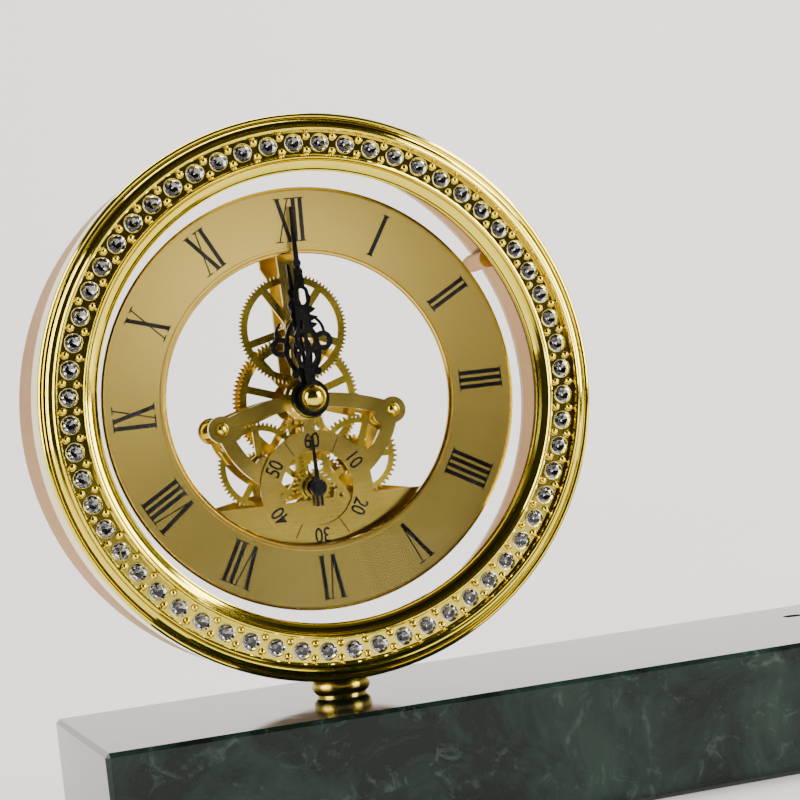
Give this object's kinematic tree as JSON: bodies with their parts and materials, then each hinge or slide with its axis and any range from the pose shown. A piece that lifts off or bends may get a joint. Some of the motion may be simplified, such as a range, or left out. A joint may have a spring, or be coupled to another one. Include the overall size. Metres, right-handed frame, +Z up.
{
  "type": "skeleton clock",
  "caption": "Round skeleton clock in a stone-set case on a long marble base, with an open wheel train, seconds dial and pierced hands.",
  "frame": {"origin": "centre of the base's underside", "axes": "+X along the base to the right as the dial is read, +Y to the back, +Z up; the dial faces -Y"},
  "size_m": [0.3832, 0.097, 0.2039],
  "materials": {
    "marble": "polished dark green marble with paler veins",
    "felt": "short dark felt",
    "polished_gold": "polished gold plating",
    "dial_gold": "satin gold with a radial sheen",
    "plate_brass": "brushed brass plate",
    "wheel_brass": "stamped brass, lightly brushed",
    "champagne": "pale champagne satin coating",
    "glass": "clear flat mineral glass",
    "clear_plastic": "clear acrylic sheet",
    "crystal": "cut glass with a mirrored back",
    "hand_black": "black lacquer",
    "steel": "zinc-plated steel",
    "rubber_black": "black rubber",
    "box_plastic": "fine-grained black moulding",
    "copper_wire": "enamelled copper wire",
    "battery_skin": "plain printed sleeve",
    "board": "green lacquered board"
  },
  "bodies": {
    "clock": {"base_felt": "felt", "marble_base": "marble", "foot_collar": "polished_gold", "foot_stud": "steel", "foot_washer": "steel", "foot_nut": "steel", "bezel_ring": "polished_gold", "stone_setting": "polished_gold", "crystals": "crystal", "front_glass": "glass", "glass_gasket": "rubber_black", "case_drum": "champagne", "rear_panel": "clear_plastic", "panel_screws": "steel", "dial_ring": "dial_gold", "dial_posts": "plate_brass", "segment_plate": "plate_brass", "front_bridge": "plate_brass", "rear_bridge": "plate_brass", "bridge_pillars": "polished_gold", "bridge_screws": "polished_gold", "movement_screws": "steel", "panel_spacers": "steel", "top_strap": "plate_brass", "centre_boss": "polished_gold", "seconds_ring": "plate_brass", "seconds_ring_rivets": "polished_gold", "motion_stud": "steel", "motor_stator": "steel", "coil_core": "steel", "motor_coil": "copper_wire", "circuit_board": "board", "battery_box": "box_plastic", "battery": "battery_skin", "battery_contacts": "steel", "cover_hinge_pin": "steel"},
    "minute": {"centre_arbor": "steel", "centre_wheel_front": "wheel_brass", "centre_wheel_rear": "wheel_brass", "cannon_pinion": "wheel_brass", "minute_hand": "hand_black", "hand_nut": "polished_gold", "setting_knob": "box_plastic"},
    "hour": {"hour_wheel": "wheel_brass", "hour_hand": "hand_black"},
    "motion_work": {"motion_wheel": "wheel_brass"},
    "upper_train": {"upper_arbor": "wheel_brass", "upper_wheel": "wheel_brass"},
    "left_train": {"left_arbor": "wheel_brass", "left_wheel": "wheel_brass"},
    "middle_train": {"middle_pinion": "wheel_brass", "middle_wheel": "wheel_brass"},
    "right_train": {"right_arbor": "wheel_brass", "right_wheel": "wheel_brass"},
    "seconds": {"seconds_arbor": "wheel_brass", "seconds_wheel": "wheel_brass", "seconds_hand": "hand_black"},
    "idler": {"idler_wheel": "wheel_brass"},
    "rotor": {"motor_rotor": "steel"},
    "cover": {"battery_cover": "box_plastic"}
  },
  "joints": [
    {"name": "minute_spin", "type": "hinge", "parent": "clock", "child": "minute", "pos_m": [-0.1127, 0.01, 0.1234], "axis": [0, 1, 0], "continuous": true},
    {"name": "hour_spin", "type": "hinge", "parent": "clock", "child": "hour", "pos_m": [-0.1127, 0.01, 0.1234], "axis": [0, 1, 0], "continuous": true},
    {"name": "motion_spin", "type": "hinge", "parent": "clock", "child": "motion_work", "pos_m": [-0.1127, 0.01, 0.1159], "axis": [0, 1, 0], "continuous": true},
    {"name": "upper_spin", "type": "hinge", "parent": "clock", "child": "upper_train", "pos_m": [-0.1127, 0.01, 0.1444], "axis": [0, 1, 0], "continuous": true},
    {"name": "left_spin", "type": "hinge", "parent": "clock", "child": "left_train", "pos_m": [-0.1272, 0.01, 0.1054], "axis": [0, 1, 0], "continuous": true},
    {"name": "middle_spin", "type": "hinge", "parent": "clock", "child": "middle_train", "pos_m": [-0.1127, 0.01, 0.0974], "axis": [0, 1, 0], "continuous": true},
    {"name": "right_spin", "type": "hinge", "parent": "clock", "child": "right_train", "pos_m": [-0.0982, 0.01, 0.1054], "axis": [0, 1, 0], "continuous": true},
    {"name": "seconds_spin", "type": "hinge", "parent": "clock", "child": "seconds", "pos_m": [-0.1127, 0.01, 0.0974], "axis": [0, 1, 0], "continuous": true},
    {"name": "idler_spin", "type": "hinge", "parent": "clock", "child": "idler", "pos_m": [-0.10102, 0.01, 0.09268], "axis": [0, 1, 0], "continuous": true},
    {"name": "rotor_spin", "type": "hinge", "parent": "clock", "child": "rotor", "pos_m": [-0.0952, 0.01, 0.09123], "axis": [0, 1, 0], "continuous": true},
    {"name": "cover_hinge", "type": "hinge", "parent": "clock", "child": "cover", "pos_m": [-0.1127, 0.01775, 0.0685], "axis": [-1, 0, 0], "range_deg": [0, 100]}
  ],
  "couplings": [
    {"joint": "hour_spin", "follows": "minute_spin", "ratio": 0.083333},
    {"joint": "motion_spin", "follows": "minute_spin", "ratio": -0.33333},
    {"joint": "upper_spin", "follows": "minute_spin", "ratio": -6},
    {"joint": "left_spin", "follows": "minute_spin", "ratio": -4.5},
    {"joint": "middle_spin", "follows": "minute_spin", "ratio": 14.175},
    {"joint": "right_spin", "follows": "minute_spin", "ratio": -26.25},
    {"joint": "seconds_spin", "follows": "minute_spin", "ratio": 60},
    {"joint": "idler_spin", "follows": "minute_spin", "ratio": -360},
    {"joint": "rotor_spin", "follows": "minute_spin", "ratio": 1800}
  ]
}
